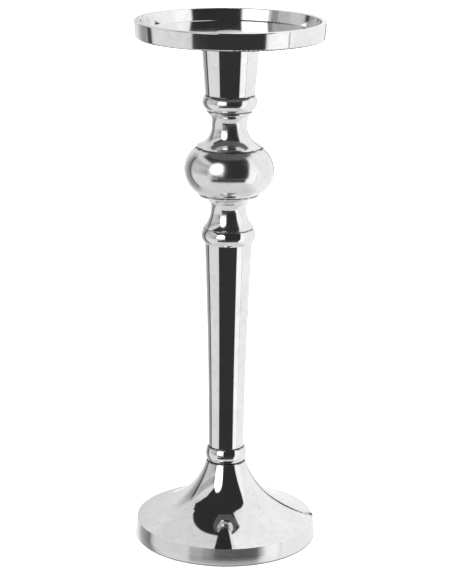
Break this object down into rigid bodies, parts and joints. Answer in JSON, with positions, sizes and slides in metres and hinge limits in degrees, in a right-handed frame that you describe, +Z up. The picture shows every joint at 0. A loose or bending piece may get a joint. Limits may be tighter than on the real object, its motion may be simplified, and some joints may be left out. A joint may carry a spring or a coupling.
{
  "type": "candlestick",
  "caption": "Tall turned-metal pillar candlestick with a shallow dish, a bead-and-knop stem and a flared round foot; the dish unscrews from the stem.",
  "frame": {"origin": "centre of the underside, on the surface it stands on", "axes": "+Z up along the stem's axis; the object is turned about Z, so +X and +Y point to any side"},
  "size_m": [0.1238, 0.1238, 0.3505],
  "materials": {
    "dish_pan": "mirror-polished cast metal",
    "dish_insert": "polished, threaded inside",
    "dish_ring_nut": "turned steel",
    "dish_washer": "vulcanised fibre",
    "neck_cup": "mirror-polished cast aluminium",
    "neck_nut": "zinc-plated steel",
    "neck_lock_washer": "spring steel",
    "neck_washer": "zinc-plated steel",
    "upper_bead": "mirror-polished cast aluminium",
    "upper_cavetto": "mirror-polished cast aluminium",
    "knop": "mirror-polished cast aluminium",
    "lower_cavetto": "mirror-polished cast aluminium",
    "shaft": "mirror-polished cast aluminium",
    "shaft_collar": "mirror-polished cast aluminium",
    "foot": "mirror-polished cast aluminium",
    "tie_rod": "threaded steel rod",
    "foot_washer": "zinc-plated steel",
    "foot_lock_washer": "spring steel",
    "foot_nut": "zinc-plated steel",
    "felt_pads": "pressed wool felt"
  },
  "bodies": {
    "stand": {"neck_cup": "neck_cup", "neck_nut": "neck_nut", "neck_lock_washer": "neck_lock_washer", "neck_washer": "neck_washer", "upper_bead": "upper_bead", "upper_cavetto": "upper_cavetto", "knop": "knop", "lower_cavetto": "lower_cavetto", "shaft": "shaft", "shaft_collar": "shaft_collar", "foot": "foot", "tie_rod": "tie_rod", "foot_washer": "foot_washer", "foot_lock_washer": "foot_lock_washer", "foot_nut": "foot_nut", "felt_pads": "felt_pads"},
    "seat_washer": {"dish_washer": "dish_washer"},
    "dish": {"dish_pan": "dish_pan", "dish_insert": "dish_insert", "dish_ring_nut": "dish_ring_nut"}
  },
  "joints": [
    {"name": "dish_lift", "type": "slide", "parent": "stand", "child": "seat_washer", "axis": [0, 0, 1], "range_m": [0, 0.01]},
    {"name": "dish_turn", "type": "hinge", "parent": "seat_washer", "child": "dish", "pos_m": [0, 0, 0.3392], "axis": [0, 0, 1], "range_deg": [0, 2880]}
  ],
  "couplings": [
    {"joint": "dish_lift", "follows": "dish_turn", "m_per_rad": 0.00019894}
  ]
}
